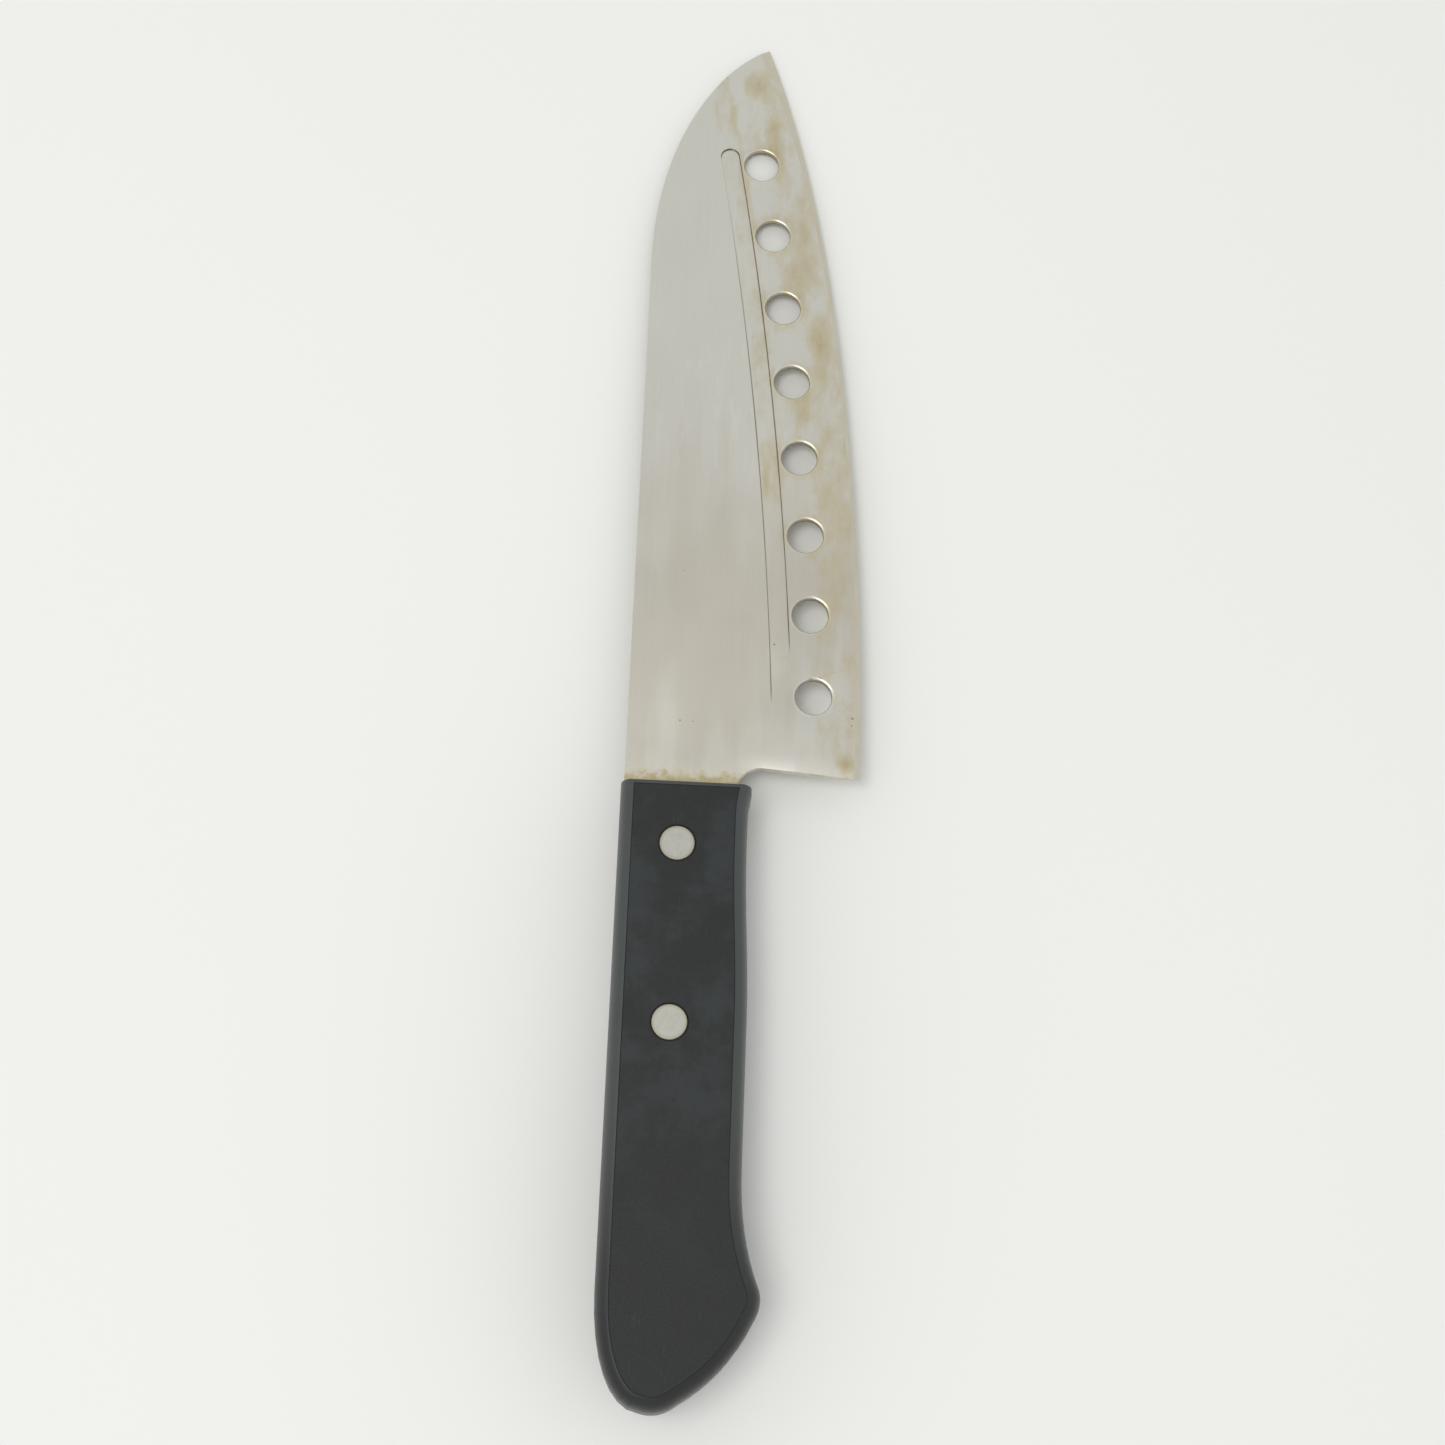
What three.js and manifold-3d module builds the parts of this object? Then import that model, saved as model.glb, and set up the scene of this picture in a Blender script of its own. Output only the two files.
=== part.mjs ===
// A perforated kitchen knife: a deep steel blade with a row of holes and a shallow groove, its half
// tang glued and riveted into the sawn slot of a one-piece black handle.
// Millimetres, +Z up. The knife lies on its side: the tip points to +Y, the cutting edge to +X.
// While it is drawn, y = 0 is the handle's front end, x = 0 the blade's spine and z = 0 the middle
// of the blade's thickness.

import * as THREE from 'three';
import { mergeVertices } from 'three/addons/utils/BufferGeometryUtils.js';
import Module from 'manifold-3d';

const wasm = await Module();
wasm.setup();

// Blade
const bladeLength = 169.5; // heel corner to tip
const bladeDepth = 46.9; // spine to heel corner
const bladeThickness = 1.8;
const tipDrop = 23.9; // the tip lies this far from the spine line
const noseLength = 55; // the spine curves down to the tip over this length
const noseAngle = 61; // degrees between the spine line and the nose at the tip
const tipAngle = 20.8; // degrees between the spine line and the edge at the tip
const heelSetback = 4.6; // handle front to heel corner
const choilRise = 1.25; // the heel's back edge climbs this much towards the neck
const choilRadius = 5;

// The edge and the nose are cubic curves. These shares of their length set how full they are.
const edgeFullness = { heel: 0.34, tip: 0.27 };
const noseFullness = { spine: 0.5, tip: 0.27 };

// Grinding: the blade thins from the groove to a narrow cutting bevel.
const edgeThickness = 0.4; // before the cutting bevel
const bevelWidth = 0.8;
const edgeFlat = 0.1;

// Row of holes, on a shallow arc beside the edge
const holeCount = 8;
const holeDiameter = 7.5;
const holeInset = 9.6; // first and last hole centres to the edge
const rowFromHeel = 17.1; // heel corner to the first hole, along the blade
const rowFromTip = 27.6; // last hole to the tip, along the blade
const rowBow = 1.95; // how far the row bulges from a straight line

// Groove, concentric with the row of holes
const grooveWidth = 4;
const grooveDepth = 0.3;
const grooveToHoles = 6.5; // middle of the groove to the hole centres
const groovePastRow = 2.8; // the round end's middle lies this far beyond the last hole

// Handle
const handleLength = 118;
const handleDepth = 26.2; // back to belly at the grip
const handleThickness = 17;
const backStep = 0.55; // the handle's back stands this far outside the spine
const rimWidth = 2.5; // rounded rim around each flat side
const rimHeight = 4;
const waistCut = 1.1; // the belly draws in behind the front end
const waistLength = 13;
const swellLength = 32; // from the waist to the full depth
const lipHeight = 0.6; // the belly turns out again at the very front
const lipLength = 7;
const backRoundLength = 20.7;
const buttPointAcross = 12.7; // back to the butt's blunt point
const beakRise = 20; // butt to beak
const beakReach = 5; // belly to the beak's sharp corner
const flareLength = 23.6; // beak to the straight belly

// The butt's point and the beak are rounded corners. before and after say where each rounding starts
// and ends, and the pulls shape the long curves that lead to it: all are measured from the corner,
// towards the belly and towards the tip.
const pointRound = { before: [-3.7, 1.1], after: [3.4, 2.7] };
const beakRound = { before: [-2.2, -3.8], after: [-1.4, 3] };
const backPull = [-9.6, 1.6]; // from the point's corner
const buttPull = [-6.4, -12.7]; // from the beak's corner
const pointProud = 0.8; // the point's sharp corner lies this far behind the rounded one

// Tang, in a slot sawn right through the handle's front half
const tangLength = 60;
const tangEndRadius = 6;
const fillerDepth = 3.4; // what the belly filler covers, grip belly to tang
const slotClearance = 0.1; // on each side of the tang
const fillerClearance = 0.15;

// Two-part flush rivets
const rivetHeadDiameter = 6.9;
const rivetHeadThickness = 1.6;
const sleeveDiameter = 4.8;
const shankDiameter = 3.2;
const sleeveGap = 0.6; // open end of the sleeve to the other head
const shankGap = 1.2; // end of the shank to the bottom of the sleeve's bore
const rivetClearance = 0.12; // around heads and sleeves, in the handle and the tang
const shankClearance = 0.06;
const rivetPlaces = [
  { name: 'front_rivet', fromFront: 12.5 },
  { name: 'rear_rivet', fromFront: 47.5 },
];

// Derived places
const heelPoint = new THREE.Vector2(bladeDepth, heelSetback);
const tipPoint = new THREE.Vector2(tipDrop, heelSetback + bladeLength);
const noseStart = new THREE.Vector2(0, tipPoint.y - noseLength);
const choilTop = heelSetback + choilRise;
const handleBack = -backStep;
const handleBelly = handleBack + handleDepth;
const handleButt = -handleLength;
const waistLine = handleBelly - waistCut;
const tangBack = handleBack + slotClearance;
const tangBelly = handleBelly - fillerDepth;
const rivetLine = (tangBack + tangBelly) / 2;
const slotEnd = -tangLength - fillerDepth;
const halfBlade = bladeThickness / 2;
const halfHandle = handleThickness / 2;
const reach = 3; // how far cutting bodies run past what they cut
const weldDistance = 1e-4; // corners closer than this are one corner
const roundFacets = 40; // on holes and rivets
const sweepRunOn = 30; // how far a swept cutter runs on past its curve
const sweepSteps = 30;

const steel = () => new THREE.MeshStandardMaterial({ color: '#c3c3bc', roughness: 0.38, metalness: 1 });
const blackPlastic = () => new THREE.MeshStandardMaterial({ color: '#3a3e3d', roughness: 0.55, metalness: 0 });
const blackResin = () => new THREE.MeshStandardMaterial({ color: '#2b2d2b', roughness: 0.45, metalness: 0 });
const aluminium = () => new THREE.MeshStandardMaterial({ color: '#bebcaf', roughness: 0.5, metalness: 1 });

// Turns a closed three.js geometry into a manifold solid.
function solidOf(geometry) {
  const bare = geometry.index ? geometry.toNonIndexed() : geometry.clone();
  bare.deleteAttribute('normal');
  bare.deleteAttribute('uv');
  const welded = mergeVertices(bare, weldDistance);
  const vertProperties = new Float32Array(welded.attributes.position.array);
  const triVerts = new Uint32Array(welded.index.array);
  return new wasm.Manifold(new wasm.Mesh({ numProp: 3, vertProperties, triVerts }));
}

// Turns a manifold solid back into a three.js geometry.
function geometryOf(solid) {
  const mesh = solid.getMesh();
  const geometry = new THREE.BufferGeometry();
  geometry.setAttribute('position', new THREE.BufferAttribute(new Float32Array(mesh.vertProperties), 3));
  geometry.setIndex(new THREE.BufferAttribute(new Uint32Array(mesh.triVerts), 1));
  geometry.computeVertexNormals();
  return geometry;
}

function box(fromX, toX, fromY, toY, fromZ, toZ) {
  const geometry = new THREE.BoxGeometry(toX - fromX, toY - fromY, toZ - fromZ);
  return solidOf(geometry.translate((fromX + toX) / 2, (fromY + toY) / 2, (fromZ + toZ) / 2));
}

function uprightCylinder(diameter, fromZ, toZ, x, y) {
  const geometry = new THREE.CylinderGeometry(diameter / 2, diameter / 2, toZ - fromZ, roundFacets);
  return solidOf(geometry.rotateX(Math.PI / 2).translate(x, y, (fromZ + toZ) / 2));
}

function plate(shape, fromZ, toZ, curveSegments = 16) {
  const geometry = new THREE.ExtrudeGeometry(shape, {
    depth: toZ - fromZ,
    bevelEnabled: false,
    curveSegments,
  });
  return solidOf(geometry.translate(0, 0, fromZ));
}

// A flat curve laid in the plane z = 0 and run on straight past both ends.
class RunOnPath extends THREE.Curve {
  constructor(curve, runOn) {
    super();
    this.curve = curve;
    this.runOn = runOn / curve.getLength();
  }

  getPoint(t, target = new THREE.Vector3()) {
    const s = t * (1 + 2 * this.runOn) - this.runOn;
    const inside = THREE.MathUtils.clamp(s, 0, 1);
    const beyond = (s - inside) * this.curve.getLength();
    const point = this.curve.getPointAt(inside);
    point.addScaledVector(this.curve.getTangentAt(inside), beyond);
    return target.set(point.x, point.y, 0);
  }
}

// Sweeps a section along a flat curve that leads towards the tip. The section's points are given as
// [distance towards the cutting edge, height].
function sweep(curve, section) {
  const points = section.map(([out, up]) => new THREE.Vector2(-up, -out));
  const geometry = new THREE.ExtrudeGeometry(new THREE.Shape(points), {
    extrudePath: new RunOnPath(curve, sweepRunOn),
    steps: sweepSteps,
    bevelEnabled: false,
  });
  return solidOf(geometry);
}

function edgeCurve() {
  const heelHandle = edgeFullness.heel * bladeLength;
  const tipHandle = edgeFullness.tip * bladeLength;
  const lean = THREE.MathUtils.degToRad(tipAngle);
  return new THREE.CubicBezierCurve(
    heelPoint,
    new THREE.Vector2(heelPoint.x, heelPoint.y + heelHandle),
    new THREE.Vector2(tipPoint.x + tipHandle * Math.sin(lean), tipPoint.y - tipHandle * Math.cos(lean)),
    tipPoint,
  );
}

// The point on the cutting edge at a given y.
function edgePointAt(y) {
  const edge = edgeCurve();
  let low = 0;
  let high = 1;
  for (let i = 0; i < 40; i += 1) {
    const middle = (low + high) / 2;
    if (edge.getPoint(middle).y < y) low = middle;
    else high = middle;
  }
  return { point: edge.getPoint(low), tangent: edge.getTangent(low) };
}

function insetFromEdge(y, inset) {
  const { point, tangent } = edgePointAt(y);
  return new THREE.Vector2(point.x - tangent.y * inset, point.y + tangent.x * inset);
}

// The circle that the hole centres lie on, from the row's two ends and its bow.
function holeRow() {
  const first = insetFromEdge(heelPoint.y + rowFromHeel, holeInset);
  const last = insetFromEdge(tipPoint.y - rowFromTip, holeInset);
  const chord = last.clone().sub(first);
  const half = chord.length() / 2;
  const radius = (half * half + rowBow * rowBow) / (2 * rowBow);
  const inward = new THREE.Vector2(-chord.y, chord.x).normalize();
  const centre = first.clone().add(last).multiplyScalar(0.5).addScaledVector(inward, radius - rowBow);
  return {
    centre,
    radius,
    firstAngle: Math.atan2(first.y - centre.y, first.x - centre.x),
    lastAngle: Math.atan2(last.y - centre.y, last.x - centre.x),
  };
}

function rowArc(row, inset) {
  const radius = row.radius - inset;
  return new THREE.EllipseCurve(
    row.centre.x, row.centre.y, radius, radius, row.firstAngle, row.lastAngle, false,
  );
}

function bladeOutline() {
  const edge = edgeCurve();
  const lean = THREE.MathUtils.degToRad(noseAngle);
  const noseHandle = noseFullness.tip * noseLength;
  const outline = new THREE.Shape();
  outline.moveTo(noseStart.x, noseStart.y);
  outline.lineTo(0, 0);
  outline.lineTo(tangBack, 0);
  outline.lineTo(tangBack, -tangLength + tangEndRadius);
  outline.quadraticCurveTo(tangBack, -tangLength, tangBack + tangEndRadius, -tangLength);
  outline.lineTo(tangBelly - tangEndRadius, -tangLength);
  outline.quadraticCurveTo(tangBelly, -tangLength, tangBelly, -tangLength + tangEndRadius);
  outline.lineTo(tangBelly, choilTop - choilRadius);
  outline.absarc(tangBelly + choilRadius, choilTop - choilRadius, choilRadius, Math.PI, Math.PI / 2, true);
  outline.lineTo(heelPoint.x, heelPoint.y);
  outline.bezierCurveTo(edge.v1.x, edge.v1.y, edge.v2.x, edge.v2.y, tipPoint.x, tipPoint.y);
  outline.bezierCurveTo(
    tipPoint.x - noseHandle * Math.sin(lean), tipPoint.y - noseHandle * Math.cos(lean),
    0, noseStart.y + noseFullness.spine * noseLength,
    noseStart.x, noseStart.y,
  );
  return outline;
}

// The wedges that thin the blade from the groove to the edge, one on each side.
function grindWedges(row) {
  const shoulder = rowArc(row, grooveToHoles - grooveWidth / 2);
  const grindWidth = holeInset + grooveToHoles - grooveWidth / 2;
  const slope = (halfBlade - edgeThickness / 2) / grindWidth;
  const far = grindWidth * 2;
  const section = (side) => [
    [-reach, side * (halfBlade + slope * reach)],
    [far, side * (halfBlade - slope * far)],
    [far, side * (halfBlade + reach)],
    [-reach, side * (halfBlade + reach)],
  ];
  return [1, -1].map((side) => sweep(shoulder, section(side)));
}

// The wedges that leave the narrow cutting bevel.
function bevelWedges() {
  const slope = (edgeThickness - edgeFlat) / 2 / bevelWidth;
  const section = (side) => [
    [reach, side * (edgeFlat / 2 - slope * reach)],
    [-reach, side * (edgeFlat / 2 + slope * reach)],
    [-reach, side * (halfBlade + reach)],
    [reach, side * (halfBlade + reach)],
  ];
  return [1, -1].map((side) => sweep(edgeCurve(), section(side)));
}

// The groove, open on the upper face only.
function grooveCutter(row) {
  const middle = row.radius - grooveToHoles;
  const half = grooveWidth / 2;
  const start = row.firstAngle;
  const end = row.lastAngle + groovePastRow / middle;
  const ends = [start, end].map((angle) => new THREE.Vector2(
    row.centre.x + middle * Math.cos(angle),
    row.centre.y + middle * Math.sin(angle),
  ));
  const outline = new THREE.Shape();
  outline.absarc(row.centre.x, row.centre.y, middle + half, start, end, false);
  outline.absarc(ends[1].x, ends[1].y, half, end, end + Math.PI, false);
  outline.absarc(row.centre.x, row.centre.y, middle - half, end, start, true);
  outline.absarc(ends[0].x, ends[0].y, half, start + Math.PI, start + 2 * Math.PI, false);
  return plate(outline, halfBlade - grooveDepth, halfBlade + reach);
}

function holeCutters(row) {
  const step = (row.lastAngle - row.firstAngle) / (holeCount - 1);
  return Array.from({ length: holeCount }, (_, i) => {
    const angle = row.firstAngle + i * step;
    const x = row.centre.x + row.radius * Math.cos(angle);
    const y = row.centre.y + row.radius * Math.sin(angle);
    return uprightCylinder(holeDiameter, -halfBlade - reach, halfBlade + reach, x, y);
  });
}

function rivetHoles(diameter, fromZ, toZ) {
  return rivetPlaces.map((place) => uprightCylinder(diameter, fromZ, toZ, rivetLine, -place.fromFront));
}

function subtractAll(solid, cutters) {
  return cutters.reduce((rest, cutter) => rest.subtract(cutter), solid);
}

function bladeSolid() {
  const row = holeRow();
  const blank = plate(bladeOutline(), -halfBlade, halfBlade, 24);
  return subtractAll(blank, [
    ...grindWedges(row),
    ...bevelWedges(),
    grooveCutter(row),
    ...holeCutters(row),
    ...rivetHoles(sleeveDiameter + 2 * rivetClearance, -halfBlade - reach, halfBlade + reach),
  ]);
}

// The handle's side outline, with its front end drawn at y = front.
function handleOutline(front) {
  const outline = new THREE.Shape();
  const point = new THREE.Vector2(handleBack + buttPointAcross, handleButt - pointProud);
  const beak = new THREE.Vector2(handleBelly + beakReach, handleButt + beakRise);
  const near = (corner, [across, along]) => [corner.x + across, corner.y + along];
  outline.moveTo(handleBack, front);
  outline.lineTo(handleBack, handleButt + backRoundLength);
  outline.bezierCurveTo(
    handleBack, handleButt + backRoundLength / 2,
    ...near(point, backPull),
    ...near(point, pointRound.before),
  );
  outline.quadraticCurveTo(point.x, point.y, ...near(point, pointRound.after));
  outline.quadraticCurveTo(...near(beak, buttPull), ...near(beak, beakRound.before));
  outline.quadraticCurveTo(beak.x, beak.y, ...near(beak, beakRound.after));
  outline.quadraticCurveTo(
    handleBelly, beak.y + flareLength / 2,
    handleBelly, beak.y + flareLength,
  );
  outline.lineTo(handleBelly, -waistLength - swellLength);
  outline.bezierCurveTo(
    handleBelly, -waistLength - swellLength * (2 / 3),
    waistLine, -waistLength - swellLength / 3,
    waistLine, -waistLength,
  );
  outline.lineTo(waistLine, -lipLength);
  outline.quadraticCurveTo(waistLine, -lipLength / 2, waistLine + lipHeight, -lipLength / 5);
  outline.lineTo(waistLine + lipHeight, front);
  outline.closePath();
  return outline;
}

// The handle's outer body: flat sides with a rounded rim, cut square at the front end.
function handleBlank() {
  const geometry = new THREE.ExtrudeGeometry(handleOutline(2 * rimWidth), {
    depth: handleThickness - 2 * rimHeight,
    bevelEnabled: true,
    bevelThickness: rimHeight,
    bevelSize: rimWidth,
    bevelOffset: -rimWidth,
    bevelSegments: 5,
    curveSegments: 8,
  });
  const body = solidOf(geometry.translate(0, 0, rimHeight - halfHandle));
  const across = handleDepth * 2;
  return body.subtract(box(-across, across, 0, across, -handleThickness, handleThickness));
}

function handleSolid() {
  const slotHalf = halfBlade + slotClearance;
  const slot = box(-handleDepth, 2 * handleDepth, slotEnd, reach, -slotHalf, slotHalf);
  const headHole = rivetHeadDiameter + 2 * rivetClearance;
  const seat = halfHandle - rivetHeadThickness - rivetClearance;
  return subtractAll(handleBlank(), [
    slot,
    ...rivetHoles(sleeveDiameter + 2 * rivetClearance, -halfHandle - reach, halfHandle + reach),
    ...rivetHoles(headHole, seat, halfHandle + reach),
    ...rivetHoles(headHole, -halfHandle - reach, -seat),
  ]);
}

// The hardened resin that fills the slot beside and behind the tang, flush with the handle.
function fillerSolid() {
  const space = new THREE.Shape();
  const belly = tangBelly + fillerClearance;
  const end = -tangLength - fillerClearance;
  space.moveTo(-handleDepth, reach);
  space.lineTo(-handleDepth, end);
  space.lineTo(belly - tangEndRadius, end);
  space.quadraticCurveTo(belly, end, belly, end + tangEndRadius);
  space.lineTo(belly, reach);
  space.closePath();
  const bar = plate(handleOutline(0), -halfBlade, halfBlade, 8);
  const inSlot = box(-handleDepth, 2 * handleDepth, slotEnd + fillerClearance, 0, -reach, reach);
  return bar.intersect(inSlot).subtract(plate(space, -reach, reach));
}

function lathed(profile) {
  const points = profile.map(([radius, height]) => new THREE.Vector2(radius, height));
  return new THREE.LatheGeometry(points, roundFacets).rotateX(Math.PI / 2);
}

// The half with the hollow sleeve; its head shows on the upper side.
function rivetSleeve() {
  const headUnderside = halfHandle - rivetHeadThickness;
  const mouth = -headUnderside + sleeveGap;
  const bore = shankDiameter / 2 + shankClearance;
  return lathed([
    [0, headUnderside],
    [bore, headUnderside],
    [bore, mouth],
    [sleeveDiameter / 2, mouth],
    [sleeveDiameter / 2, headUnderside],
    [rivetHeadDiameter / 2, headUnderside],
    [rivetHeadDiameter / 2, halfHandle],
    [0, halfHandle],
  ]);
}

// The half with the solid shank; its head shows on the lower side.
function rivetShank() {
  const headUnderside = -halfHandle + rivetHeadThickness;
  return lathed([
    [0, -halfHandle],
    [rivetHeadDiameter / 2, -halfHandle],
    [rivetHeadDiameter / 2, headUnderside],
    [shankDiameter / 2, headUnderside],
    [shankDiameter / 2, -headUnderside - shankGap],
    [0, -headUnderside - shankGap],
  ]);
}

function named(name, geometry, material) {
  const mesh = new THREE.Mesh(geometry, material);
  mesh.name = name;
  return mesh;
}

function rivet(place) {
  const pair = new THREE.Group();
  pair.add(named(`${place.name}_sleeve`, rivetSleeve(), aluminium()));
  pair.add(named(`${place.name}_shank`, rivetShank(), aluminium()));
  pair.position.set(rivetLine, -place.fromFront, 0);
  return pair;
}

const knife = new THREE.Group();
knife.add(named('blade', geometryOf(bladeSolid()), steel()));
knife.add(named('handle', geometryOf(handleSolid()), blackPlastic()));
knife.add(named('slot_filler', geometryOf(fillerSolid()), blackResin()));
knife.add(...rivetPlaces.map(rivet));

// The origin is the middle of the underside of the whole knife's box.
const bounds = new THREE.Box3().setFromObject(knife);
const middle = bounds.getCenter(new THREE.Vector3());
knife.position.set(-middle.x, -middle.y, -bounds.min.z);

export default knife;
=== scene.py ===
import math
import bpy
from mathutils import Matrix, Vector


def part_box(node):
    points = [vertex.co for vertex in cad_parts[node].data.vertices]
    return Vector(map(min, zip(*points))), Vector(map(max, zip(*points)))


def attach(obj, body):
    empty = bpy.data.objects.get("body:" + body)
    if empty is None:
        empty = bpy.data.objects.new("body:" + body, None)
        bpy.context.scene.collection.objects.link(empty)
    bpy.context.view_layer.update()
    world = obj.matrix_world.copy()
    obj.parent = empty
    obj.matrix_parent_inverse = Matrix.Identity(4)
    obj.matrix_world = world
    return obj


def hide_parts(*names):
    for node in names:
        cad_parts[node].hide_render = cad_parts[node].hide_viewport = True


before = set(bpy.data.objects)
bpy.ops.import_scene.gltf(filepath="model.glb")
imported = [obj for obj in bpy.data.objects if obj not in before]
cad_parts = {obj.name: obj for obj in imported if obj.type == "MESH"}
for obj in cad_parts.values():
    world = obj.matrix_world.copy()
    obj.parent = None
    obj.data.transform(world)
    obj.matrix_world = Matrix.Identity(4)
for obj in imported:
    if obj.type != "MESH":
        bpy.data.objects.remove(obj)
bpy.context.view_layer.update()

from types import SimpleNamespace

import bmesh
import bpy
from mathutils import Matrix, Vector

# A perforated kitchen knife lying on its side: tip towards +Y, cutting edge towards +X.
MM = 0.001

# The same driving sizes as the solid model, in millimetres.
BACK_STEP = 0.55  # the handle's back stands this far outside the spine
HOLE_COUNT = 8
HOLE_RADIUS = 3.75
ROW_RADIUS = 979.25  # the holes lie on this circle
ROW_CENTRE = (-940.85, -28.89)
ROW_START = 0.051466  # angle of the first hole on that circle, in radians
ROW_END = 0.177703
GROOVE_TO_HOLES = 6.5
GROOVE_HALF_WIDTH = 2.0
GROOVE_DEPTH = 0.3
GROOVE_PAST_ROW = 2.8  # the round end's middle lies this far beyond the last hole
GRIND_SLOPE = 0.7 / 14.1  # each side falls this much from the groove to the edge
CHOIL_CORNER = (27.25, 0.85)  # middle of the rounding between the neck and the heel's back edge
CHOIL_RADIUS = 5.0
CHOIL_SLOPE = 0.0636

# Finer shape that only this model has, in millimetres unless it says otherwise.
GROOVE_FADES = 24.5  # the groove runs out to nothing here, a little later on its spine side
GROOVE_FADE_SKEW = 2.75  # for each millimetre across the groove
GROOVE_RUN_OUT = 7.0  # length over which its floor rises
RUN_OUT_CUTS = range(16, 42)  # the floor is cut across at each of these, so that it can bend
ROLL = 0.6  # radius of the rolled rim round each hole
ROLL_DEPTH = 0.55  # how deep it goes, as a share of that radius
BURR_SOFTENING = 0.06  # the holes' lower edges
OUTLINE_SOFTENING = 0.12
AHEAD_OF_HANDLE = 0.5  # the outline is softened from here on, and the tang is left sharp
WHETTED_FROM = 5.0  # the cutting bevel lies farther than this outside the row of holes
FRONT_SOFTENING = 0.7  # the handle's front edges
STEP_WIDTH = 0.2  # the step beside each flat of the handle
STEP_DEPTH = 0.07
RIVET_SOFTENING = 0.25

# How far from a hole's rim and from the choil the sheet has been drawn down.
DRAWN_AT_HOLE = 2.6
DRAWN_AT_CHOIL = 3.6

# Where water has dried on the blade: the middle of each patch, its half length and half width in
# millimetres, and how strong it is.
STAINS = [
    ((21.5, 164.5), (4.5, 5.5), 0.3),
    ((25.5, 153.5), (3.2, 9.0), 0.22),
    ((16.5, 156.5), (2.6, 7.0), 0.2),
    ((33.0, 126.0), (4.0, 22.0), 0.14),
    ((37.0, 100.0), (4.0, 16.0), 0.2),
    ((33.5, 84.0), (3.0, 6.0), 0.15),
    ((40.5, 62.0), (5.0, 26.0), 0.1),
    ((43.8, 7.8), (3.0, 3.0), 0.26),
    ((26.0, 69.0), (1.5, 6.0), 0.22),
]

# Pinhead pits: middle and radius in millimetres.
SPECKS = [((10.5, 15.1), 0.22), ((13.1, 15.0), 0.16), ((45.1, 17.4), 0.28), ((45.0, 15.9), 0.2),
          ((28.9, 32.4), 0.24), ((9.9, 47.5), 0.14)]

handle_low, handle_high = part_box("handle")
blade_low, blade_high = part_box("blade")
spine_x = handle_low.x + BACK_STEP * MM
front_y = handle_high.y
blade_top = blade_high.z


def place(x, y, z=0.0):
    """A point given in millimetres from the spine and the handle's front end, as a place in the frame."""
    return Vector((spine_x + x * MM, front_y + y * MM, z))


def on_row(angle, inset=0.0):
    """A point on the circle of the hole centres, or on a smaller circle inside it."""
    radius = ROW_RADIUS - inset
    return place(ROW_CENTRE[0] + radius * math.cos(angle), ROW_CENTRE[1] + radius * math.sin(angle))


hole_angles = [ROW_START + (ROW_END - ROW_START) * i / (HOLE_COUNT - 1) for i in range(HOLE_COUNT)]
hole_centres = [on_row(angle) for angle in hole_angles]


# ---------------------------------------------------------------- materials

def linear(hex_code):
    """An sRGB hex colour as linear red, green, blue and alpha."""
    channels = [int(hex_code[i:i + 2], 16) / 255 for i in (1, 3, 5)]
    return [c / 12.92 if c <= 0.04045 else ((c + 0.055) / 1.055) ** 2.4 for c in channels] + [1.0]


def add(tree, kind, inputs=None, **settings):
    """Adds a node, gives it its settings, and fills or links its inputs."""
    node = tree.nodes.new("ShaderNode" + kind)
    for name, value in settings.items():
        setattr(node, name, value)
    for socket, value in (inputs or {}).items():
        if isinstance(value, bpy.types.NodeSocket):
            tree.links.new(value, node.inputs[socket])
        else:
            node.inputs[socket].default_value = value
    return node


def new_material(name):
    material = bpy.data.materials.new(name)
    material.use_nodes = True
    material.node_tree.nodes.clear()
    return material, material.node_tree


def millimetres(tree):
    """The place on the knife in millimetres, from the spine and from the handle's front end."""
    where = add(tree, "TexCoord").outputs["Object"]
    return add(tree, "Mapping", {"Vector": where, "Location": -place(0, 0) / MM,
                                 "Scale": (1 / MM,) * 3}).outputs[0]


def flat_distance(tree, local, middle):
    """How far the place is from a point, seen square to the blade."""
    offset = add(tree, "VectorMath", {0: local, 1: middle}, operation="SUBTRACT")
    level = add(tree, "VectorMath", {0: offset.outputs[0], 1: (1, 1, 0)}, operation="MULTIPLY")
    return add(tree, "VectorMath", {0: level.outputs[0]}, operation="LENGTH").outputs["Value"]


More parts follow.
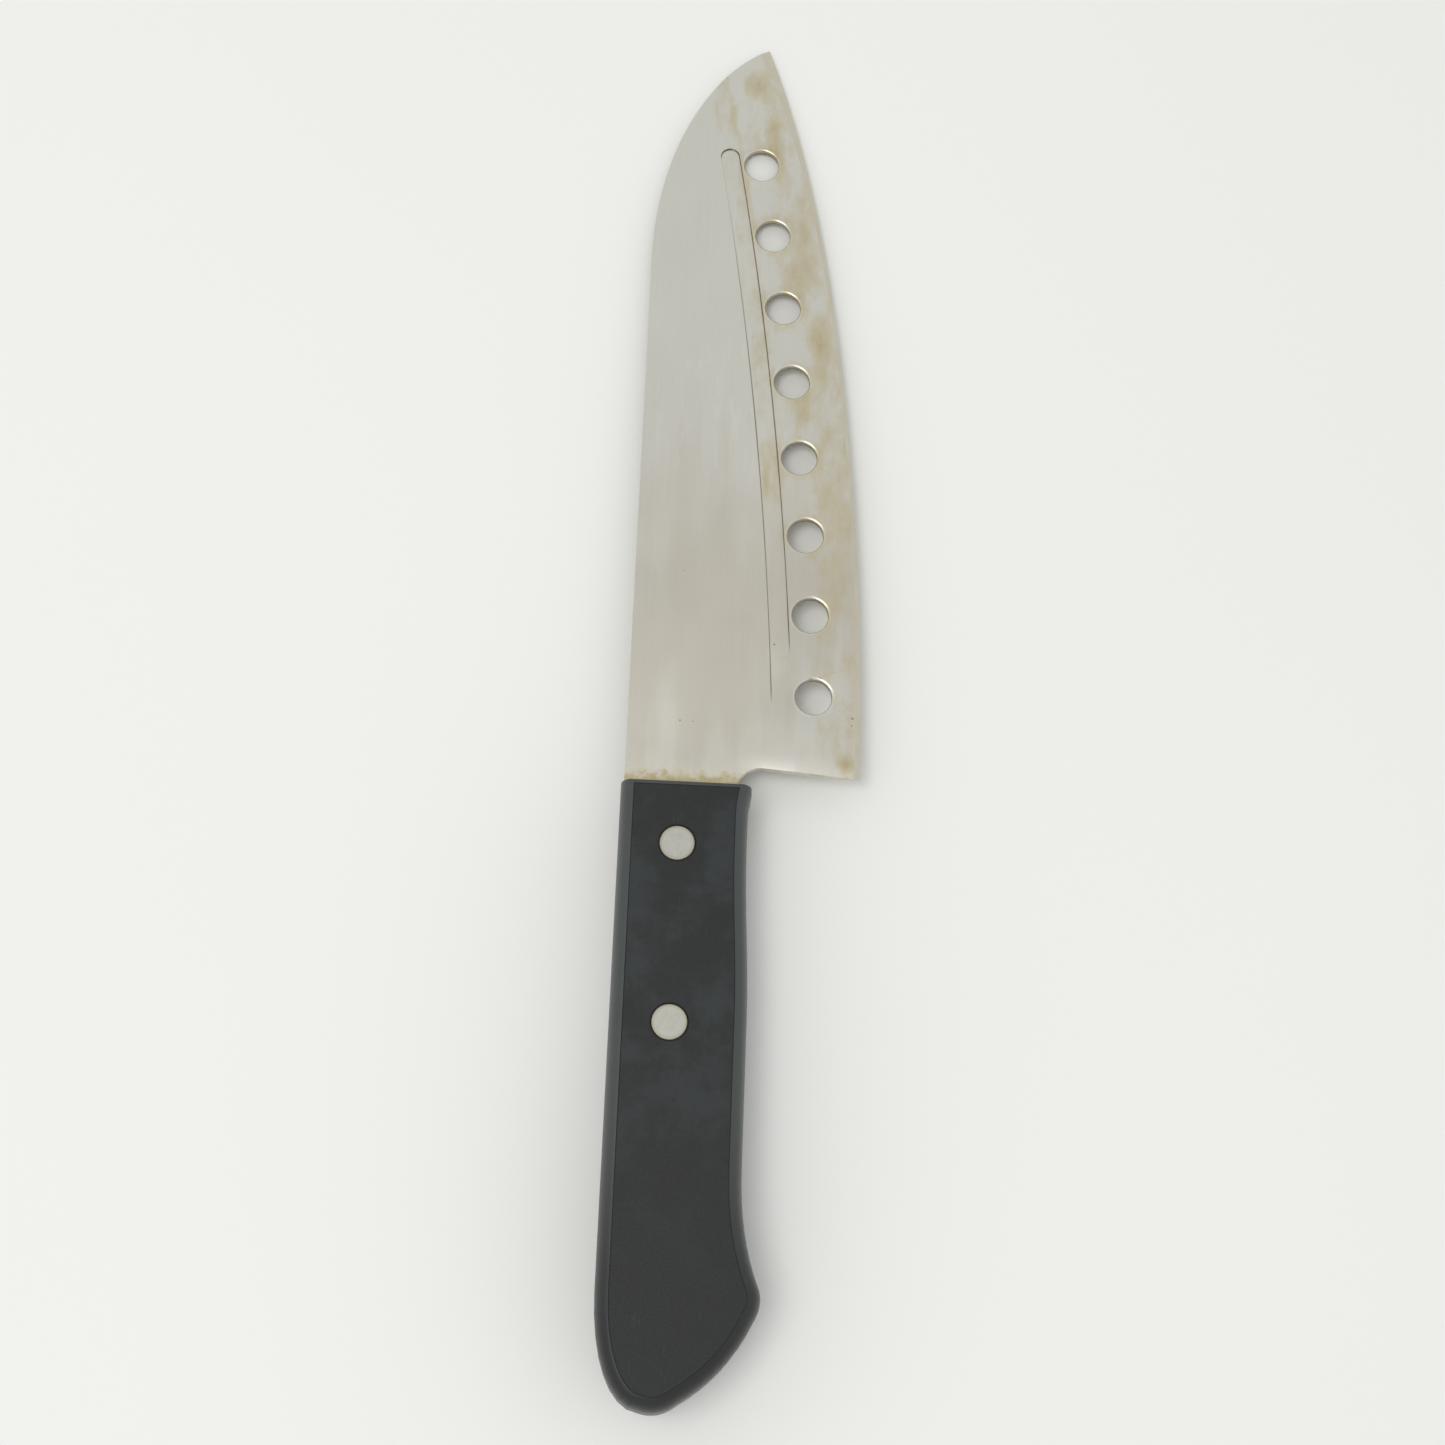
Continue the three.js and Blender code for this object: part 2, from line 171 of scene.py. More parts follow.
def blade_places(tree):
    """The places that the marks on the blade follow, in millimetres: across the row of holes, across
    the groove from its middle line, and from the middle of the nearest hole."""
    local = millimetres(tree)
    xyz = add(tree, "SeparateXYZ", {0: local})
    circle = add(tree, "VectorMath", {0: local, 1: (*ROW_CENTRE, 0)}, operation="SUBTRACT")
    flat = add(tree, "VectorMath", {0: circle.outputs[0], 1: (1, 1, 0)}, operation="MULTIPLY")
    out = add(tree, "VectorMath", {0: flat.outputs[0]}, operation="LENGTH")
    across = add(tree, "Math", {0: out.outputs["Value"], 1: ROW_RADIUS}, operation="SUBTRACT").outputs[0]
    wall = add(tree, "Math", {0: across, 1: GROOVE_TO_HOLES}, operation="ADD")
    row_xyz = add(tree, "SeparateXYZ", {0: circle.outputs[0]})
    angle = add(tree, "Math", {0: row_xyz.outputs["Y"], 1: row_xyz.outputs["X"]}, operation="ARCTAN2")
    pitch = (ROW_END - ROW_START) / (HOLE_COUNT - 1)
    number = add(tree, "MapRange", {"Value": angle.outputs[0], "From Min": ROW_START,
                                    "From Max": ROW_END, "To Max": HOLE_COUNT - 1}, clamp=False)
    clipped = add(tree, "Clamp", {"Value": number.outputs[0], "Max": HOLE_COUNT - 1})
    nearest = add(tree, "Math", {0: clipped.outputs[0]}, operation="ROUND")
    off_number = add(tree, "Math", {0: number.outputs[0], 1: nearest.outputs[0]}, operation="SUBTRACT")
    along = add(tree, "Math", {0: off_number.outputs[0], 1: pitch * ROW_RADIUS}, operation="MULTIPLY")
    offset = add(tree, "CombineXYZ", {0: along.outputs[0], 1: across})
    hole_distance = add(tree, "VectorMath", {0: offset.outputs[0]}, operation="LENGTH")
    return SimpleNamespace(local=local, x=xyz.outputs["X"], y=xyz.outputs["Y"], z=xyz.outputs["Z"],
                           across=across, wall=wall.outputs[0],
                           hole_distance=hole_distance.outputs["Value"])


def ground_steel(tree, at, lines, broad):
    """The colour of the clean metal: a slow change along the blade, grinding lines and smudges, and a
    painted highlight near the choil.
    """
    # The steel is a little darker and warmer between the heel and the middle, lighter towards the tip.
    tone_wave = add(tree, "MapRange", {"Value": broad, "From Min": 0.3, "From Max": 0.7, "To Min": -14,
                                       "To Max": 14})
    tone_at = add(tree, "Math", {0: tone_wave.outputs[0], 1: at.y}, operation="ADD")
    upper_tone = add(tree, "MapRange", {"Value": tone_at.outputs[0], "From Min": 38, "From Max": 92},
                     interpolation_type="SMOOTHSTEP")
    # On the edge side of the heel, near the choil, the colour is lighter again: a painted highlight.
    choil_highlight_at = add(tree, "Math", {0: at.x, 1: -0.55, 2: tone_at.outputs[0]}, operation="MULTIPLY_ADD")
    painted_choil_highlight = add(tree, "MapRange", {"Value": choil_highlight_at.outputs[0], "From Min": -10, "From Max": 16,
                                       "To Min": 0.85, "To Max": 0}, interpolation_type="SMOOTHSTEP")
    tone_and_highlight = add(tree, "Math", {0: upper_tone.outputs[0], 1: painted_choil_highlight.outputs[0]}, operation="ADD")
    bare = add(tree, "Mix", {0: tone_and_highlight.outputs[0], 6: linear("#d3cec2"), 7: linear("#dedcd3")},
               data_type="RGBA")
    line_tone = add(tree, "MapRange", {"Value": lines, "From Min": 0.3, "From Max": 0.7, "To Min": 0.978,
                                       "To Max": 1.018})
    brushed = add(tree, "VectorMath", {0: bare.outputs[2], 3: line_tone.outputs[0]}, operation="SCALE")

    # Pale smudges in the middle of the blade, drawn out along it.
    smudge_at = add(tree, "Mapping", {"Vector": at.local, "Location": (0, 3.1, 0),
                                      "Scale": (0.55, 0.09, 0.1)})
    smudge = add(tree, "TexNoise", {"Vector": smudge_at.outputs[0], "Scale": 1.0, "Detail": 4.0,
                                    "Roughness": 0.7})
    smudge_on = add(tree, "MapRange", {"Value": smudge.outputs[0], "From Min": 0.52, "From Max": 0.66},
                    interpolation_type="SMOOTHSTEP")
    from_middle = add(tree, "VectorMath", {0: at.local, 1: (15, 88, 0)}, operation="DISTANCE")
    near_middle = add(tree, "MapRange", {"Value": from_middle.outputs["Value"], "From Min": 6,
                                         "From Max": 30, "To Min": 0.55, "To Max": 0},
                      interpolation_type="SMOOTHSTEP")
    smudged = add(tree, "Math", {0: smudge_on.outputs[0], 1: near_middle.outputs[0]}, operation="MULTIPLY")
    with_smudge = add(tree, "Mix", {0: smudged.outputs[0], 6: brushed.outputs[0], 7: linear("#e6e6e0")},
                      data_type="RGBA")
    return with_smudge.outputs[2]


def water_stains(tree, at, upper, clean):
    """Tan stains in soft patches, on the edge side of the groove and near the tip."""
    stain_at = add(tree, "Mapping", {"Vector": at.local, "Location": (4.2, 1.7, 0),
                                     "Scale": (0.2, 0.1, 0.1)})
    stain = add(tree, "TexNoise", {"Vector": stain_at.outputs[0], "Scale": 1.0, "Detail": 8.0,
                                   "Roughness": 0.68})
    amount = stain.outputs[0]
    for middle, spread, strength in STAINS:
        from_patch = add(tree, "VectorMath", {0: at.local, 1: (*middle, 0)},
                         operation="SUBTRACT")
        scaled = add(tree, "VectorMath", {0: from_patch.outputs[0],
                                          1: (1 / spread[0], 1 / spread[1], 0)}, operation="MULTIPLY")
        distance = add(tree, "VectorMath", {0: scaled.outputs[0]}, operation="LENGTH")
        patch = add(tree, "MapRange", {"Value": distance.outputs["Value"], "To Min": strength,
                                       "To Max": 0}, interpolation_type="SMOOTHSTEP")
        amount = add(tree, "Math", {0: amount, 1: patch.outputs[0]}, operation="ADD").outputs[0]
    edge_side = add(tree, "MapRange", {"Value": at.across, "From Min": -9, "From Max": 4, "To Min": -0.17,
                                       "To Max": 0.08}, interpolation_type="SMOOTHSTEP")
    amount = add(tree, "Math", {0: amount, 1: edge_side.outputs[0]}, operation="ADD").outputs[0]
    # More of it on the groove's floor and just outside its wall, and in a halo round each hole.
    off_groove = add(tree, "Math", {0: at.wall, 1: 0.6}, operation="SUBTRACT")
    off_either_way = add(tree, "Math", {0: off_groove.outputs[0]}, operation="ABSOLUTE")
    in_groove = add(tree, "MapRange", {"Value": off_either_way.outputs[0], "From Min": 1.6,
                                       "From Max": 3.4, "To Min": 0.2, "To Max": 0},
                    interpolation_type="SMOOTHSTEP")
    halo = add(tree, "MapRange", {"Value": at.hole_distance, "From Min": HOLE_RADIUS,
                                  "From Max": HOLE_RADIUS + 2.4, "To Min": 0.12, "To Max": 0},
               interpolation_type="SMOOTHSTEP")
    collected = add(tree, "Math", {0: in_groove.outputs[0], 1: halo.outputs[0]}, operation="ADD")
    amount = add(tree, "Math", {0: collected.outputs[0], 1: upper, 2: amount},
                 operation="MULTIPLY_ADD").outputs[0]
    faint_film = add(tree, "MapRange", {"Value": amount, "From Min": 0.47, "From Max": 0.74,
                                        "To Max": 0.62}, interpolation_type="SMOOTHSTEP")
    filmed = add(tree, "Mix", {0: faint_film.outputs[0], 6: clean,
                               7: linear("#cdc09a")}, data_type="RGBA")
    strong_film = add(tree, "MapRange", {"Value": amount, "From Min": 0.68, "From Max": 0.96,
                                         "To Max": 0.5}, interpolation_type="SMOOTHSTEP")
    with_stain = add(tree, "Mix", {0: strong_film.outputs[0], 6: filmed.outputs[2],
                                   7: linear("#b8a26a")}, data_type="RGBA")
    return with_stain.outputs[2]


def groove_dirt_and_painted_shade(tree, at, upper, broad, stained):
    """A dark line at the foot of the groove's wall, all round its tip end and down both sides: partly brown
    dirt, partly painted shade of the wall.
    It is placed along and across the blade only, so it also shows on the reverse face."""
    from_middle_line = add(tree, "Math", {0: at.wall}, operation="ABSOLUTE")
    end_angle = ROW_END + GROOVE_PAST_ROW / (ROW_RADIUS - GROOVE_TO_HOLES)
    end = (on_row(end_angle, GROOVE_TO_HOLES) - place(0, 0)) / MM
    onward = Vector((-math.sin(end_angle), math.cos(end_angle), 0))
    from_end = add(tree, "VectorMath", {0: at.local, 1: end}, operation="SUBTRACT")
    in_plane = add(tree, "VectorMath", {0: from_end.outputs[0], 1: (1, 1, 0)}, operation="MULTIPLY")
    end_distance = add(tree, "VectorMath", {0: in_plane.outputs[0]}, operation="LENGTH")
    beyond = add(tree, "VectorMath", {0: in_plane.outputs[0], 1: onward}, operation="DOT_PRODUCT")
    is_beyond = add(tree, "Math", {0: beyond.outputs["Value"], 1: 0.0}, operation="GREATER_THAN")
    to_middle = add(tree, "Mix", {0: is_beyond.outputs[0], 2: from_middle_line.outputs[0],
                                  3: end_distance.outputs["Value"]})
    wall_gap = add(tree, "Math", {0: to_middle.outputs[0], 1: GROOVE_HALF_WIDTH}, operation="SUBTRACT")
    wall_near = add(tree, "Math", {0: wall_gap.outputs[0]}, operation="ABSOLUTE")
    line_width = add(tree, "MapRange", {"Value": broad, "From Min": 0.35, "From Max": 0.65,
                                        "To Min": 0.12, "To Max": 0.24})
    groove_line = add(tree, "MapRange", {"Value": wall_near.outputs[0], "From Min": 0.02,
                                       "From Max": line_width.outputs[0], "To Min": 0.78, "To Max": 0},
                    interpolation_type="SMOOTHSTEP")
    skew = add(tree, "Math", {0: at.wall, 1: -GROOVE_FADE_SKEW, 2: at.y}, operation="MULTIPLY_ADD")
    line_end = add(tree, "MapRange", {"Value": skew.outputs[0], "From Min": GROOVE_FADES,
                                      "From Max": GROOVE_FADES + 4}, interpolation_type="SMOOTHSTEP")
    # The line on the spine side is faint near the tip.
    worn = add(tree, "MapRange", {"Value": at.y, "From Min": 95, "From Max": 135, "To Max": 0.75})
    on_spine_side = add(tree, "Math", {0: at.wall, 1: -1.0}, operation="LESS_THAN")
    not_hook = add(tree, "Math", {0: is_beyond.outputs[0], 1: 0.5}, operation="LESS_THAN")
    faint_here = add(tree, "Math", {0: on_spine_side.outputs[0], 1: not_hook.outputs[0]},
                     operation="MULTIPLY")
    faint = add(tree, "Math", {0: worn.outputs[0], 1: faint_here.outputs[0]}, operation="MULTIPLY")
    kept = add(tree, "Math", {0: 1.0, 1: faint.outputs[0]}, operation="SUBTRACT")
    groove_line_part = add(tree, "Math", {0: groove_line.outputs[0], 1: line_end.outputs[0]},
                     operation="MULTIPLY")
    dirt_and_shade = add(tree, "Math", {0: groove_line_part.outputs[0], 1: kept.outputs[0]}, operation="MULTIPLY")
    # The line's colour, grey lower down and brown higher up: partly dirt, partly painted shade of the wall.
    groove_line_colour = add(tree, "Mix", {0: upper, 6: linear("#56524a"), 7: linear("#6b5a35")},
                     data_type="RGBA")
    with_groove_line = add(tree, "Mix", {0: dirt_and_shade.outputs[0], 6: stained,
                                  7: groove_line_colour.outputs[2]}, data_type="RGBA")
    return with_groove_line.outputs[2]


def hole_wall_painted_shade(tree, at, dirt_and_shade):
    """Painted shade on the walls inside the holes, darkest lower down."""
    in_hole = add(tree, "MapRange", {"Value": at.hole_distance,
                                     "From Min": HOLE_RADIUS + 0.05, "From Max": HOLE_RADIUS + 0.14,
                                     "To Min": 0.72, "To Max": 0}, interpolation_type="SMOOTHSTEP")
    lower_wall = add(tree, "MapRange", {"Value": at.z, "From Min": blade_top / MM - 1.25,
                                        "From Max": blade_top / MM - 0.75, "To Min": 1, "To Max": 0.3})
    hole_shade = add(tree, "Math", {0: in_hole.outputs[0], 1: lower_wall.outputs[0]}, operation="MULTIPLY")
    with_hole_shade = add(tree, "Mix", {0: hole_shade.outputs[0], 6: dirt_and_shade, 7: linear("#514d42")},
                     data_type="RGBA")
    return with_hole_shade.outputs[2]


def residue_band(tree, at, hole_shade):
    """Dried residue along the handle's front end, with rust flecks in it. Gives its colour and where
    it lies."""
    fleck = add(tree, "TexNoise", {"Vector": at.local, "Scale": 0.55, "Detail": 6.0,
                                   "Roughness": 0.72})
    reach = add(tree, "Math", {0: fleck.outputs[0], 1: 8.0, 2: 1.0}, operation="MULTIPLY_ADD")
    in_band = add(tree, "Math", {0: reach.outputs[0], 1: at.y}, operation="SUBTRACT")
    band = add(tree, "MapRange", {"Value": in_band.outputs[0], "From Min": -1.2, "From Max": 3.0,
                                  "To Max": 0.9}, interpolation_type="SMOOTHSTEP")
    with_band = add(tree, "Mix", {0: band.outputs[0], 6: hole_shade, 7: linear("#b7a97f")},
                    data_type="RGBA")
    rust_at = add(tree, "Mapping", {"Vector": at.local, "Scale": (0.5, 1.3, 1.0)})
    rust = add(tree, "TexNoise", {"Vector": rust_at.outputs[0], "Scale": 0.9, "Detail": 5.0,
                                  "Roughness": 0.75})
    rust_on = add(tree, "MapRange", {"Value": rust.outputs[0], "From Min": 0.6, "From Max": 0.7,
                                     "To Max": 0.8}, interpolation_type="SMOOTHSTEP")
    rusty = add(tree, "Math", {0: rust_on.outputs[0], 1: band.outputs[0]}, operation="MULTIPLY")
    with_rust = add(tree, "Mix", {0: rusty.outputs[0], 6: with_band.outputs[2], 7: linear("#8a6a3c")},
                    data_type="RGBA")
    return with_rust.outputs[2], band.outputs[0]


def pinhead_pits(tree, at, colour):
    """A few pinhead pits and specks of rust."""
    for middle, size in SPECKS:
        distance = flat_distance(tree, at.local, (*middle, 0))
        speck = add(tree, "MapRange", {"Value": distance, "From Min": size * 0.4, "From Max": size,
                                       "To Min": 0.75, "To Max": 0}, interpolation_type="SMOOTHSTEP")
        colour = add(tree, "Mix", {0: speck.outputs[0], 6: colour, 7: linear("#5a4a33")},
                     data_type="RGBA").outputs[2]
    return colour


def drawn_down_metal(tree, at):
    """The sheet is drawn down softly round each hole and along the choil."""
    near_hole = add(tree, "MapRange", {"Value": at.hole_distance,
                                       "From Min": HOLE_RADIUS, "From Max": HOLE_RADIUS + DRAWN_AT_HOLE,
                                       "To Min": 1, "To Max": 0})
    hole_drop = add(tree, "Math", {0: near_hole.outputs[0], 1: 2.0}, operation="POWER")
    choil_x = add(tree, "Math", {0: at.x, 1: CHOIL_CORNER[0]}, operation="SUBTRACT")
    choil_left = add(tree, "Math", {0: choil_x.outputs[0], 1: 0.0}, operation="MINIMUM")
    choil_right = add(tree, "Math", {0: choil_x.outputs[0], 1: 0.0}, operation="MAXIMUM")
    choil_y = add(tree, "Math", {0: at.y, 1: CHOIL_CORNER[1]}, operation="SUBTRACT")
    choil_at = add(tree, "CombineXYZ", {0: choil_left.outputs[0], 1: choil_y.outputs[0]})
    choil_radius = add(tree, "VectorMath", {0: choil_at.outputs[0]}, operation="LENGTH")
    choil_gap = add(tree, "Math", {0: choil_right.outputs[0], 1: CHOIL_SLOPE,
                                   2: choil_radius.outputs["Value"]}, operation="MULTIPLY_ADD")
    near_choil = add(tree, "MapRange", {"Value": choil_gap.outputs[0], "From Min": CHOIL_RADIUS,
                                        "From Max": CHOIL_RADIUS + DRAWN_AT_CHOIL, "To Min": 1,
                                        "To Max": 0})
    choil_drop = add(tree, "Math", {0: near_choil.outputs[0], 1: 2.0}, operation="POWER")
    choil_deeper = add(tree, "Math", {0: choil_drop.outputs[0], 1: 1.5}, operation="MULTIPLY")
    drop = add(tree, "Math", {0: hole_drop.outputs[0], 1: choil_deeper.outputs[0]}, operation="ADD")
    soft = add(tree, "Bump", {"Height": drop.outputs[0], "Strength": 1.0, "Distance": 0.00014},
               invert=True)
    return soft.outputs[0]


def steel_material():
    """Satin stainless steel, ground lengthwise. The belt's grit leaves fine straight lines that spread
    the reflections sideways, and years of washing up have left thin tan films where water dries last."""
    material, tree = new_material("satin_stainless_steel")
    at = blade_places(tree)
    # Grinding lines: about 0.3 mm apart and 20 mm long, a little coarser than real ones.
    lines_at = add(tree, "Mapping", {"Vector": at.local, "Scale": (3.2, 0.05, 0.3)})
    lines = add(tree, "TexNoise", {"Vector": lines_at.outputs[0], "Scale": 1.0, "Detail": 5.0,
                                   "Roughness": 0.65}).outputs[0]
    broad_at = add(tree, "Mapping", {"Vector": at.local, "Scale": (0.16, 0.03, 0.1)})
    broad = add(tree, "TexNoise", {"Vector": broad_at.outputs[0], "Scale": 1.0, "Detail": 3.0}).outputs[0]
    cloud = add(tree, "TexNoise", {"Vector": at.local, "Scale": 0.045, "Detail": 4.0,
                                   "Roughness": 0.6}).outputs[0]
    upper = add(tree, "MapRange", {"Value": at.y, "From Min": 30, "From Max": 70},
                interpolation_type="SMOOTHSTEP").outputs[0]

    clean = ground_steel(tree, at, lines, broad)
    stained = water_stains(tree, at, upper, clean)
    # The groove's dark line is partly dirt, partly painted shade of its wall.
    dirt_and_shade = groove_dirt_and_painted_shade(tree, at, upper, broad, stained)
    # The walls inside the holes get painted shade.
    hole_shade = hole_wall_painted_shade(tree, at, dirt_and_shade)
    crusted, band = residue_band(tree, at, hole_shade)
    colour = pinhead_pits(tree, at, crusted)

    rough = add(tree, "MapRange", {"Value": cloud, "From Min": 0.3, "From Max": 0.7, "To Min": 0.3,
                                   "To Max": 0.38})
    rougher = add(tree, "Math", {0: band, 1: 0.35, 2: rough.outputs[0]},
                  operation="MULTIPLY_ADD")
    metal = add(tree, "MapRange", {"Value": band, "To Min": 1.0, "To Max": 0.45})
    bump = add(tree, "Bump", {"Height": lines, "Strength": 0.06, "Distance": 0.0001,
                              "Normal": drawn_down_metal(tree, at)})
    shader = add(tree, "BsdfPrincipled", {"Base Color": colour,
                                          "Metallic": metal.outputs[0],
                                          "Roughness": rougher.outputs[0], "Normal": bump.outputs[0]})
    add(tree, "OutputMaterial", {"Surface": shader.outputs[0]})
    return material


def whetted_material():
    """The narrow cutting bevel, whetted by hand. The stone leaves fine lines across it and it stains
    along the edge, so it looks a little darker and warmer than the ground face."""
    material, tree = new_material("whetted_stainless_steel")
    local = millimetres(tree)
    lines_at = add(tree, "Mapping", {"Vector": local, "Scale": (0.3, 4.0, 0.3)})
    lines = add(tree, "TexNoise", {"Vector": lines_at.outputs[0], "Scale": 1.0, "Detail": 4.0})
    stain = add(tree, "TexNoise", {"Vector": local, "Scale": 0.12, "Detail": 5.0})
    shade = add(tree, "Mix", {0: stain.outputs[0], 6: linear("#dedace"), 7: linear("#cdc3a8")},
                data_type="RGBA")
    bump = add(tree, "Bump", {"Height": lines.outputs[0], "Strength": 0.1, "Distance": 0.0001})
    shader = add(tree, "BsdfPrincipled", {"Base Color": shade.outputs[2], "Metallic": 1.0,
                                          "Roughness": 0.36, "Normal": bump.outputs[0]})
    add(tree, "OutputMaterial", {"Surface": shader.outputs[0]})
    return material


def plastic_material(name, shades, patches, roughness, butt_shade_at):
    """Black moulded plastic. The flats are matt with a slight bloom from washing up, the rim has been
    polished by the hand. The rim's paler colour is a painted sheen, and the darkening towards the butt is
    painted shade. patches is where in the noise the bloom starts and is full; the last argument is where
    along the handle that painted shade is full and where it has gone."""
    material, tree = new_material(name)
    local = millimetres(tree)
    y = add(tree, "SeparateXYZ", {0: local}).outputs["Y"]
    cloud = add(tree, "TexNoise", {"Vector": local, "Scale": 0.09, "Detail": 5.0,
                                   "Roughness": 0.65})
    bloom = add(tree, "MapRange", {"Value": cloud.outputs[0], "From Min": patches[0],
                                   "From Max": patches[1]}, interpolation_type="SMOOTHSTEP")
    # Painted shade: the colour falls to the darker shade towards the butt.
    kept = add(tree, "MapRange", {"Value": y, "From Min": butt_shade_at[0], "From Max": butt_shade_at[1]},
               interpolation_type="SMOOTHSTEP")
    bloom_and_painted_light = add(tree, "Math", {0: bloom.outputs[0], 1: kept.outputs[0]}, operation="MULTIPLY")
    skin = add(tree, "Mix", {0: bloom_and_painted_light.outputs[0], 6: linear(shades[0]), 7: linear(shades[1])},
               data_type="RGBA")
    # Hairline scuffs a few millimetres long, lying a little askew.
    scuff_at = add(tree, "Mapping", {"Vector": local, "Rotation": (0, 0, 0.5),
                                     "Scale": (2.6, 0.16, 0.6)})
    scuff = add(tree, "TexNoise", {"Vector": scuff_at.outputs[0], "Scale": 1.0, "Detail": 4.0,
                                   "Roughness": 0.7})
    scuffed = add(tree, "MapRange", {"Value": scuff.outputs[0], "From Min": 0.66, "From Max": 0.74,
                                     "To Max": 0.4}, interpolation_type="SMOOTHSTEP")
    marked = add(tree, "Mix", {0: scuffed.outputs[0], 6: skin.outputs[2], 7: linear("#5b6060")},
                 data_type="RGBA")
    grain = add(tree, "TexNoise", {"Vector": local, "Scale": 3.0, "Detail": 4.0})
    rough = add(tree, "MapRange", {"Value": grain.outputs[0], "From Min": 0.3, "From Max": 0.7,
                                   "To Min": roughness[0], "To Max": roughness[1]})
    bump = add(tree, "Bump", {"Height": grain.outputs[0], "Strength": 0.12, "Distance": 0.0001})
    shader = add(tree, "BsdfPrincipled", {"Base Color": marked.outputs[2], "Roughness": rough.outputs[0],
                                          "IOR": 1.5, "Normal": bump.outputs[0]})
    add(tree, "OutputMaterial", {"Surface": shader.outputs[0]})
    return material


def crease_material():
    """The same plastic in the narrow step beside the flat, where dark dirt has collected."""
    material, tree = new_material("black_plastic_in_the_crease")
    where = add(tree, "TexCoord").outputs["Object"]
    dust = add(tree, "TexNoise", {"Vector": where, "Scale": 900.0, "Detail": 3.0})
    shade = add(tree, "Mix", {0: dust.outputs[0], 6: linear("#0c0d0c"), 7: linear("#191b19")},
                data_type="RGBA")
    shader = add(tree, "BsdfPrincipled", {"Base Color": shade.outputs[2], "Roughness": 0.8, "IOR": 1.5})
    add(tree, "OutputMaterial", {"Surface": shader.outputs[0]})
    return material


def filler_material():
    """Hardened black resin, rubbed down flush: slightly glossier than the plastic, with tiny pits."""
    material, tree = new_material("hardened_black_resin")
    where = add(tree, "TexCoord").outputs["Object"]
    pits = add(tree, "TexVoronoi", {"Vector": where, "Scale": 1400.0})
    shade = add(tree, "MapRange", {"Value": pits.outputs["Distance"], "From Max": 0.5, "To Min": 0.4,
                                   "To Max": 0.5})
    mottle = add(tree, "TexNoise", {"Vector": where, "Scale": 400.0, "Detail": 4.0})
    colour = add(tree, "Mix", {0: mottle.outputs[0], 6: linear("#151614"), 7: linear("#262723")},
                 data_type="RGBA")
    bump = add(tree, "Bump", {"Height": pits.outputs["Distance"], "Strength": 0.15, "Distance": 0.0001})
    shader = add(tree, "BsdfPrincipled", {"Base Color": colour.outputs[2], "Roughness": shade.outputs[0],
                                          "IOR": 1.55, "Normal": bump.outputs[0]})
    add(tree, "OutputMaterial", {"Surface": shader.outputs[0]})
    return material


def rivet_material():
    """Soft aluminium, ground flush and gone dull: pale grey, with oxide clouds and a warm rim of dirt."""
    material, tree = new_material("dull_aluminium")
    local = millimetres(tree)
    oxide = add(tree, "TexNoise", {"Vector": local, "Scale": 0.8, "Detail": 6.0,
                                   "Roughness": 0.7})
    shade = add(tree, "Mix", {0: oxide.outputs[0], 6: linear("#a3a298"), 7: linear("#c2c2ba")},
                data_type="RGBA")
    gaps = []
    for end in ("front", "rear"):
        low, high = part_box(end + "_rivet_sleeve")
        middle = ((low + high) / 2 - place(0, 0)) / MM
        gaps.append(flat_distance(tree, local, middle))
    radius = add(tree, "Math", {0: gaps[0], 1: gaps[1]}, operation="MINIMUM")
    uneven = add(tree, "Math", {0: oxide.outputs[0], 1: 1.2, 2: radius.outputs[0]},
                 operation="MULTIPLY_ADD")
    rim = add(tree, "MapRange", {"Value": uneven.outputs[0], "From Min": 3.2, "From Max": 4.1,
                                 "To Max": 0.6}, interpolation_type="SMOOTHSTEP")
    stained = add(tree, "Mix", {0: rim.outputs[0], 6: shade.outputs[2], 7: linear("#948a6c")},
                  data_type="RGBA")
    lines_at = add(tree, "Mapping", {"Vector": local, "Scale": (6.0, 0.4, 1.0)})
    lines = add(tree, "TexNoise", {"Vector": lines_at.outputs[0], "Scale": 1.0, "Detail": 3.0})
    bump = add(tree, "Bump", {"Height": lines.outputs[0], "Strength": 0.2, "Distance": 0.0001})
    shader = add(tree, "BsdfPrincipled", {"Base Color": stained.outputs[2], "Metallic": 0.75,
                                          "Roughness": 0.55, "Normal": bump.outputs[0]})
    add(tree, "OutputMaterial", {"Surface": shader.outputs[0]})
    return material


def floor_material():
    """Plain off-white background paper."""
    material, tree = new_material("pale_paper")
    where = add(tree, "TexCoord").outputs["Object"]
    fibre = add(tree, "TexNoise", {"Vector": where, "Scale": 3.0, "Detail": 4.0})
    shade = add(tree, "Mix", {0: fibre.outputs[0], 6: linear("#ecece8"), 7: linear("#f0f0ed")},
                data_type="RGBA")
    shader = add(tree, "BsdfPrincipled", {"Base Color": shade.outputs[2], "Roughness": 0.9,
                                          "Specular IOR Level": 0.2})
    add(tree, "OutputMaterial", {"Surface": shader.outputs[0]})
    return material


# ---------------------------------------------------------------- pieces

def solid_copy(node):
    """A node's shape as one closed mesh with its coplanar triangles joined, ready to be worked on."""
    bm = bmesh.new()
    bm.from_mesh(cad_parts[node].data)
    bmesh.ops.remove_doubles(bm, verts=bm.verts, dist=0.001 * MM)
    bmesh.ops.dissolve_limit(bm, angle_limit=math.radians(0.05), verts=bm.verts, edges=bm.edges)
    return bm


def shade_by_angle(bm, degrees):
    for face in bm.faces:
        face.smooth = True
    for edge in bm.edges:
        edge.smooth = edge.calc_face_angle(0.0) < math.radians(degrees)


